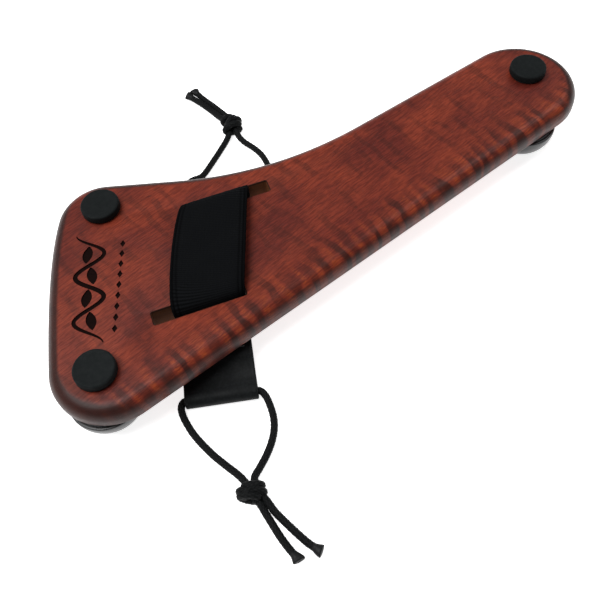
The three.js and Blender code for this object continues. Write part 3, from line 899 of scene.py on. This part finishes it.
SLOT_CORNER = 0.0007
SLOT_EASE = 0.00035  # how far the slots' edges are rounded over


def slot_ring(slot, grow, height):
    """The outline of a slot that is wider by grow all round."""
    half_x, half_y = SLOT_LENGTH / 2 - SLOT_CORNER, SLOT_WIDTH / 2 - SLOT_CORNER
    ring = []
    for turn, sign_x, sign_y in ((0, 1, 1), (90, -1, 1), (180, -1, -1), (270, 1, -1)):
        corner = (slot[0] + sign_x * half_x, slot[1] + sign_y * half_y, SLOT_CORNER + grow)
        ring += [on_circle(corner, math.radians(turn + step)) for step in (0, 30, 60, 90)]
    return at_height(np.array(ring), height)


def slot_cutter(slot):
    levels = [
        (SLOT_EASE, PLATE_BOTTOM - 0.002),
        *rounded_levels(SLOT_EASE, 5, SLOT_EASE, 5),
        (SLOT_EASE, PLATE_TOP + 0.002),
    ]
    return lofted([slot_ring(slot, grow, height) for grow, height in levels])


# The engraving is a plain vine: a waving stem with a leaf in each hollow, and a row of lozenges
# beside it.
ENGRAVING_DEPTH = 0.0005
VINE = {
    "at": (-0.1066, -0.001), "turn": math.radians(77.5), "half": 0.0262, "swing": 0.0058,
    "wave": 0.0212, "width": 0.00095, "leaf": (0.0043, 0.0021), "leaf_out": 0.001,
    "leaf_slant": 0.0006,
}
LOZENGES = {
    "from": (-0.1012, -0.0235), "to": (-0.0893, 0.015), "count": 9, "half": (0.0018, 0.0011),
}


def prism(outline, at, turn):
    """An upright prism over the turned outline that reaches the engraving's depth into the plate."""
    flat = turned_to(outline, at, turn)
    return lofted([
        at_height(flat, height) for height in (PLATE_TOP - ENGRAVING_DEPTH, PLATE_TOP + 0.001)
    ])


def vine_stem():
    half = VINE["half"]
    s = np.linspace(-half, half, 121)
    middle = np.column_stack([s, VINE["swing"] * np.sin(2 * math.pi * s / VINE["wave"])])
    width = VINE["width"] * (1 - 0.8 * np.abs(s / half) ** 4)[:, None]
    side = left_of(np.gradient(middle, axis=0)) * width
    return np.vstack([middle + side, (middle - side)[::-1]])


def vine_leaf(k):
    """The leaf at the k-th crest of the stem, above or below it in turn."""
    crest = (k + 0.5) * VINE["wave"] / 2
    hand = 1 if k % 2 == 0 else -1
    long, wide = VINE["leaf"]
    u = np.linspace(-1, 1, 25)
    rib = wide * np.cos(u * math.pi / 2) ** 0.8
    middle = hand * (VINE["leaf_slant"] * u - VINE["leaf_out"])
    upper = np.column_stack([crest + long * u, middle + rib])
    lower = np.column_stack([crest + long * u, middle - rib])
    return np.vstack([upper, lower[-2:0:-1]])


def engraving_cutter():
    marks = [vine_stem(), *[vine_leaf(k) for k in range(-2, 2)]]
    parts = [prism(mark, VINE["at"], VINE["turn"]) for mark in marks]
    start, end = np.array(LOZENGES["from"]), np.array(LOZENGES["to"])
    turn = math.atan2(*(end - start)[::-1])
    long, wide = LOZENGES["half"]
    corners = [(long, 0), (0, wide), (-long, 0), (0, -wide)]
    for share in np.linspace(0, 1, LOZENGES["count"]):
        parts.append(prism(corners, start + (end - start) * share, turn))
    return join_lofts(parts)


def carve(piece, cutter):
    """Takes the cutter's volume out of piece, for good. The cut faces keep the cutter's material."""
    change = piece.modifiers.new("cut", "BOOLEAN")
    change.operation = "DIFFERENCE"
    change.solver = "EXACT"
    change.material_mode = "TRANSFER"
    change.object = cutter
    bpy.context.view_layer.update()
    ready = piece.evaluated_get(bpy.context.evaluated_depsgraph_get())
    mesh = bpy.data.meshes.new_from_object(ready)
    piece.modifiers.clear()
    piece.data = mesh
    bpy.data.objects.remove(cutter)


def make_plate():
    plate = make_piece("maple_plate", *plate_shape(), MAPLE)
    for slot in (LOWER_SLOT, UPPER_SLOT):
        carve(plate, make_piece("slot_cutter", *slot_cutter(slot), SLOT_WALL))
    carve(plate, make_piece("engraving_cutter", *engraving_cutter(), BURNT))
    smooth(plate, 32)
    settle(plate, "root", "maple", "plate")


make_plate()

# -------- feet, pads and tape


def turned_piece(name, profile, spot, sides, material, sharp=35.0):
    """A solid turned about the upright axis at spot; profile points are (radius, height)."""
    turn = full_turn(sides)
    rim = np.column_stack([np.cos(turn), np.sin(turn), np.zeros(sides)])
    rings = [np.array([*spot, height]) + rim * radius for radius, height in profile]
    return make_piece(name, *lofted(rings), material, sharp)


def centre_of(cad_node):
    low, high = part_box(cad_node)
    return (low.x + high.x) / 2, (low.y + high.y) / 2


FOOT_BEVEL = 0.0009


def make_foot(where):
    """A moulded disc with a bevelled rim and a shallow dish in its face."""
    cad_node = f"rubber_foot_{where}"
    height = FOOT_TOP - FOOT_BOTTOM
    rim = FOOT_RADIUS - 0.00006
    bevel = [
        (rim - FOOT_BEVEL * (1 - math.cos(angle)), FOOT_TOP - FOOT_BEVEL * (1 - math.sin(angle)))
        for angle in np.radians(range(0, 91, 10))
    ]
    profile = [
        (0.001, FOOT_BOTTOM), (FOOT_RADIUS - 0.0003, FOOT_BOTTOM),
        (FOOT_RADIUS, FOOT_BOTTOM + 0.0003), (FOOT_RADIUS, FOOT_BOTTOM + 0.45 * height),
        (FOOT_RADIUS - 0.00004, FOOT_BOTTOM + 0.6 * height), *bevel,
        (FOOT_RADIUS - 0.0013, FOOT_TOP - 0.00003), (FOOT_RADIUS - 0.0022, FOOT_TOP - 0.00012),
        (0.003, FOOT_TOP - 0.00022), (0.0006, FOOT_TOP - 0.00024),
    ]
    foot = turned_piece(f"moulded_foot_{where}", profile, centre_of(cad_node), 96, RUBBER)
    settle(foot, "root", "rubber", cad_node)


def make_tape(name, cad_node, radius, low, high):
    """Double-sided foam tape that bulges a little where it is pressed."""
    profile = [
        (0.0008, low), (radius - 0.0002, low), (radius + 0.0001, low + 0.0001),
        (radius + 0.00018, (low + high) / 2), (radius + 0.0001, high - 0.0001),
        (radius - 0.0002, high), (0.0008, high),
    ]
    tape = turned_piece(name, profile, centre_of(cad_node), 72, TAPE)
    settle(tape, "root", "adhesive_tape", cad_node)


PAD_TOP = PAD_HEIGHT + 0.0003


def make_pad(where):
    """A moulded dome: the crown is almost flat, the rim is rounded where it meets the tape."""
    cad_node = f"shoulder_pad_{where}"
    dome = PAD_HEIGHT - PAD_SKIRT
    start = math.asin(PAD_TIP_RADIUS / PAD_RADIUS)
    profile = [(0.0005, 0.0), (0.6 * PAD_TIP_RADIUS, 0.00002)]
    for angle in np.linspace(start, math.pi / 2, 30):
        drop = (math.cos(start) - math.cos(angle)) / math.cos(start)
        profile.append((PAD_RADIUS * math.sin(angle), 0.00004 + dome * drop))
    profile += [
        (PAD_RADIUS, PAD_TOP - 0.0006), (PAD_RADIUS - 0.0001, PAD_TOP - 0.00025),
        (PAD_RADIUS - 0.00035, PAD_TOP - 0.00005), (PAD_RADIUS - 0.0007, PAD_TOP),
        (0.0008, PAD_TOP),
    ]
    pad = turned_piece(f"domed_pad_{where}", profile, centre_of(cad_node), 120, PAD_RUBBER, 50)
    settle(pad, "root", "pad_rubber", cad_node)


for where in ("wide_upper", "wide_lower", "narrow"):
    make_foot(where)
    make_tape(f"foot_foam_{where}", f"foot_tape_{where}", FOOT_TAPE_RADIUS, PLATE_TOP, FOOT_BOTTOM)
    make_pad(where)
    make_tape(f"pad_foam_{where}", f"pad_tape_{where}", PAD_TAPE_RADIUS, PAD_TOP, PLATE_BOTTOM)

# -------- ribbons

RIBBON_SAMPLES = 56  # across each face
EDGE_ROUND = 0.985  # how round the ribbons' long edges are, 1 for a half circle


def ribbon(path, acrosses, halves, thicknesses, relief):
    """Vertices and faces of a flat band along path, its ribbon places, and the share of painted
    shade in its grooves. Each ring is the upper face and then the lower one back."""
    acrosses = unit(np.broadcast_to(acrosses, path.shape))
    ups = unit(np.cross(acrosses, np.gradient(path, axis=0)))
    halves = np.broadcast_to(halves, len(path))
    thicknesses = np.broadcast_to(thicknesses, len(path))
    spread = np.sin(np.linspace(-0.5, 0.5, RIBBON_SAMPLES) * math.pi * 0.94)
    spread /= spread[-1]
    rings, places, reliefs = [], [], []
    for middle, across, up, half, thick, run in zip(
        path, acrosses, ups, halves, thicknesses / 2, lengths(path)
    ):
        offset = spread * half
        lift, painted_shade = relief(run, offset, half)
        near_edge = np.clip((np.abs(offset) - (half - thick)) / thick, 0, 1)
        rise = np.outer(thick * np.sqrt(1 - EDGE_ROUND * near_edge ** 2) + lift, up)
        flat = middle + np.outer(offset, across)
        rings.append(np.vstack([flat + rise, (flat - rise)[::-1]]))
        both = np.concatenate([offset, offset[::-1]])
        places.append(np.column_stack([both, np.full(len(both), run)]))
        reliefs.extend([painted_shade, painted_shade[::-1]])
    return *lofted(rings), np.vstack(places), np.concatenate(reliefs)


def make_ribbon(name, shape, material):
    vertices, faces, places, relief = shape
    piece = make_piece(name, vertices, faces, material, 60)
    set_ribbon_places(piece, places)
    set_relief(piece, relief)
    return piece


def channel(distance, place_in, width):
    """1 at the middle of a groove and 0 away from it."""
    return np.exp(-(((distance - place_in) / width) ** 2))


# -------- elastic

RIB_PITCH = 0.0009
RIB_HEIGHT = 0.00016
SELVEDGE_GROOVES = ((0.0012, 0.0001), (0.0027, 0.00016))
GROOVE_WIDTH = 0.0003

# The slack arch over the plate: how far along the way from slot to slot, and the height over it.
ARCH = [
    (0.004, 0.0002), (0.018, 0.0021), (0.062, 0.0037), (0.16, 0.0047), (0.32, 0.0052),
    (0.5, 0.0054), (0.68, 0.0052), (0.84, 0.0047), (0.938, 0.0037), (0.982, 0.0021), (0.996, 0.0002),
]
SPLIT_HEIGHT = 0.0195  # inside the slots, where the strap's middle meets its ends
HEIGHTS_OVER_SPLIT = (SPLIT_HEIGHT, 0.0215, 0.0235)
HEIGHTS_UNDER_SPLIT = (SPLIT_HEIGHT, 0.0175, 0.016)
ELASTIC_STEP = 0.000225
STRAP_SHIFT = 0.001  # the slack strap leans a little towards the wide end
STRAP_WAY = np.array([1.0, 0.0, 0.0])  # across the strap where it lies square in the slots
SEWN_HALF = 0.0129  # half the elastic's width where the tab grips it
SEWN_IN = 0.0065  # how far the elastic reaches into the tab


def elastic_relief(run, offset, half, shear=0.0):
    """Height of the elastic's cross ribs, with grooves along its selvedges, and a share that paints
    shade into the grooves and leaves the rib tops lighter.
    """
    rib = 0.5 + 0.5 * np.cos(2 * math.pi * (run + offset * shear) / RIB_PITCH)
    from_edge = half - np.abs(offset)
    rib = rib * np.clip((from_edge - 0.0006) / 0.0012, 0.25, 1)
    height = RIB_HEIGHT * (rib - 0.5)
    painted_shade = 0.25 + 0.75 * rib
    for place_in, depth in SELVEDGE_GROOVES:
        dip = channel(from_edge, place_in, GROOVE_WIDTH)
        height = height - depth * dip
        painted_shade = painted_shade * (1 - 0.85 * dip)
    return height, painted_shade


def in_slot(end, height, bend=0.0):
    """The strap's middle by the slot's wall, or bend radians round the corner below it."""
    y = end["wall_y"] - end["side"] * STRAP_BEND * math.cos(bend)
    return np.array([end["strap_x"], y, height - STRAP_BEND * math.sin(bend)])


def make_strap_middle():
    low, high = in_slot(LOWER_END, PLATE_TOP), in_slot(UPPER_END, PLATE_TOP)
    points = [in_slot(LOWER_END, height) for height in HEIGHTS_OVER_SPLIT]
    points += [low + (high - low) * share + np.array([0, 0, height]) for share, height in ARCH]
    points += [in_slot(UPPER_END, height) for height in reversed(HEIGHTS_OVER_SPLIT)]
    path = smooth_curve(points, ELASTIC_STEP)
    share = np.clip((path[:, 1] - low[1]) / (high[1] - low[1]), 0, 1)
    swell = np.sin(math.pi * share) ** 0.5
    halves = STRAP_HALF + (STRAP_HALF_MIDDLE - STRAP_HALF) * swell
    path[:, 0] -= STRAP_SHIFT * swell
    run = lengths(path)
    lean = (high[0] - low[0]) / np.linalg.norm(high - low)
    from_end = np.minimum(run, run[-1] - run)
    shears = lean * np.clip((from_end - 0.006) / 0.01, 0, 1)

    def relief(at, offset, half):
        return elastic_relief(at, offset, half, np.interp(at, run, shears))

    shape = ribbon(path, STRAP_WAY, halves, STRAP_THICKNESS, relief)
    piece = make_ribbon("elastic_middle", shape, ELASTIC)
    settle(piece, "root", "elastic", "elastic_strap")


def tab_ways(end):
    """A tab's own directions: out along it, up through it, and across it."""
    across = across_tab(end)
    level = np.append(along(end["heading"], math.cos(end["slope"])), -math.sin(end["slope"]))
    return level, np.cross(across, level), across


def make_strap_end(prefix, end):
    out, _, across = tab_ways(end)
    sewn = end["tunnel"] - out * end["length"]
    inside = sewn + out * SEWN_IN
    corner = [in_slot(end, PLATE_BOTTOM, bend) for bend in (0.0, math.pi / 4, math.pi / 2)]
    points = [
        *[in_slot(end, height) for height in HEIGHTS_UNDER_SPLIT], *corner,
        (corner[2] + sewn) / 2, sewn, (sewn + inside) / 2, inside,
    ]
    path = smooth_curve(points, ELASTIC_STEP)
    run = lengths(path)
    turn_over, reach = [
        run[np.argmin(np.linalg.norm(path - point, axis=1))] for point in (corner[2], sewn)
    ]
    share = np.clip((run - turn_over) / (reach - turn_over), 0, 1)
    share = share * share * (3 - 2 * share)
    acrosses = np.outer(1 - share, STRAP_WAY) - np.outer(share, across * end["side"])
    halves = STRAP_HALF + (SEWN_HALF - STRAP_HALF) * share
    thick = STRAP_THICKNESS * (1 - 0.3 * np.clip((run - reach) / 0.001, 0, 1))
    shape = ribbon(path, acrosses, halves, thick, elastic_relief)
    piece = make_ribbon(f"elastic_{prefix}", shape, ELASTIC)
    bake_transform(piece)
    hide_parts("elastic_strap")


make_strap_middle()
make_strap_end("lower", LOWER_END)
make_strap_end("upper", UPPER_END)

# -------- tabs

TAB_LAYER = 0.00115
TAB_SPREAD = 0.00108  # from the tab's middle to the middle of each layer
TAB_EDGE = 0.0005  # the pressed leather spreads this far past each long edge
TUNNEL_MIDDLE = 0.00275  # radius of the layer's middle around the cord


def tab_line(length):
    """The folded strip's middle line in the tab's own plane: out on top, round the cord and back."""
    upper = [
        (-length, TAB_SPREAD), (-length + 0.0025, TAB_SPREAD + 0.00004),
        (-length + SEWN_IN, TAB_SPREAD - 0.00005), (-length + SEWN_IN + 0.0022, 0.00058),
        (-0.0082, 0.00054), (-0.0058, 0.00078), (-0.0032, 0.00165),
    ]
    angles = np.radians([112, 80, 45, 15, -15, -45, -80, -112])
    round_cord = [along(angle, TUNNEL_MIDDLE) for angle in angles]
    lower = [(x, -y) for x, y in reversed(upper)]
    return smooth_curve([*upper, *round_cord, *lower], 0.0003)


def tab_relief(run, offset, half):
    """A soft channel along each long edge, as pressing leaves."""
    dip = channel(half - np.abs(offset), 0.0016, 0.0004)
    return -0.00005 * dip, np.ones(len(offset))


def make_tab(prefix, end):
    out, up, across = tab_ways(end)
    line = tab_line(end["length"])
    path = end["tunnel"] + line @ np.array([out, up])
    shape = ribbon(path, across, TAB_WIDTH / 2 + TAB_EDGE, TAB_LAYER, tab_relief)
    piece = make_ribbon(f"{prefix}_folded_tab", shape, LEATHER)
    settle(piece, f"{prefix}_end", "leather", f"{prefix}_tab")


STITCH_PITCH = 0.0026
STITCH_HALF = 0.00105
STITCH_RADIUS = 0.00027
STITCH_ROWS = (0.0011, 0.003)  # from the sewn end
STITCH_SIDES = 10
STITCH_ARCH = 0.00016  # how far a stitch's middle stands over its ends
STITCH_SINK = 0.0011  # from the tab's middle to the stitches' layer


def stitch(middle, along_row, up):
    """One short, rounded stitch that sinks into the leather at both of its ends."""
    turn = full_turn(STITCH_SIDES)
    rim = np.outer(np.cos(turn), np.cross(along_row, up)) + np.outer(np.sin(turn), up)
    rings = []
    for share in np.linspace(-1, 1, 9):
        radius = STITCH_RADIUS * math.sqrt(max(0.02, 1 - abs(share) ** 2.5))
        centre = middle + along_row * share * STITCH_HALF + up * STITCH_ARCH * (1 - share * share)
        rings.append(centre + rim * radius)
    return lofted(rings)


def make_stitches(prefix, end):
    """Two rows across each face of the tab."""
    out, up, across = tab_ways(end)
    count = int((TAB_WIDTH - 0.003) / STITCH_PITCH)
    shifts = (np.arange(count) - (count - 1) / 2) * STITCH_PITCH
    parts = []
    for row in STITCH_ROWS:
        for face in (up, -up):
            start = end["tunnel"] + out * (row - end["length"]) + face * (STITCH_SINK + TAB_LAYER / 2)
            parts.extend(stitch(start + across * shift, across, face) for shift in shifts)
    piece = make_piece(f"{prefix}_stitches", *join_lofts(parts), THREAD, 60)
    settle(piece, f"{prefix}_end", "thread", f"{prefix}_seam_thread")


for prefix, end in (("lower", LOWER_END), ("upper", UPPER_END)):
    make_tab(prefix, end)
    make_stitches(prefix, end)

# -------- floor and light

FLOOR_REACH = 4.0
BRIGHT_SIDE = (-0.47, 0.82, 0.32)  # the studio is bright behind the rest, dim before it


def make_floor():
    mesh = bpy.data.meshes.new("floor")
    corners = [(x * FLOOR_REACH, y * FLOOR_REACH, 0) for x, y in ((-1, -1), (1, -1), (1, 1), (-1, 1))]
    mesh.from_pydata(corners, [], [(0, 1, 2, 3)])
    mesh.materials.append(make_material("pale_floor", floor_look))
    add_object("floor", mesh)


def make_light(name, start, target, size, power):
    data = bpy.data.lights.new(name, "AREA")
    data.shape = "DISK"
    data.size = size
    data.energy = power
    aim(add_object(name, data), Vector(start), Vector(target))


def make_world():
    world = bpy.data.worlds.new("studio")
    world.use_nodes = True
    tree = world.node_tree
    way = node(tree, "ShaderNodeTexCoord").outputs["Generated"]
    strength = between(tree, dot(tree, way, BRIGHT_SIDE), -0.15, 0.95, 0.14, 0.42)
    set_inputs(tree, tree.nodes["Background"], {"Color": (1, 1, 1), "Strength": strength})
    bpy.context.scene.world = world


make_floor()
make_light("key", (-0.45, 0.05, 1.0), (-0.03, 0, 0), 0.9, 12.0)
make_light("fill", (0.7, 0.2, 0.9), (0, 0, 0), 0.7, 3.0)
make_world()
bpy.context.scene.view_settings.view_transform = "Standard"
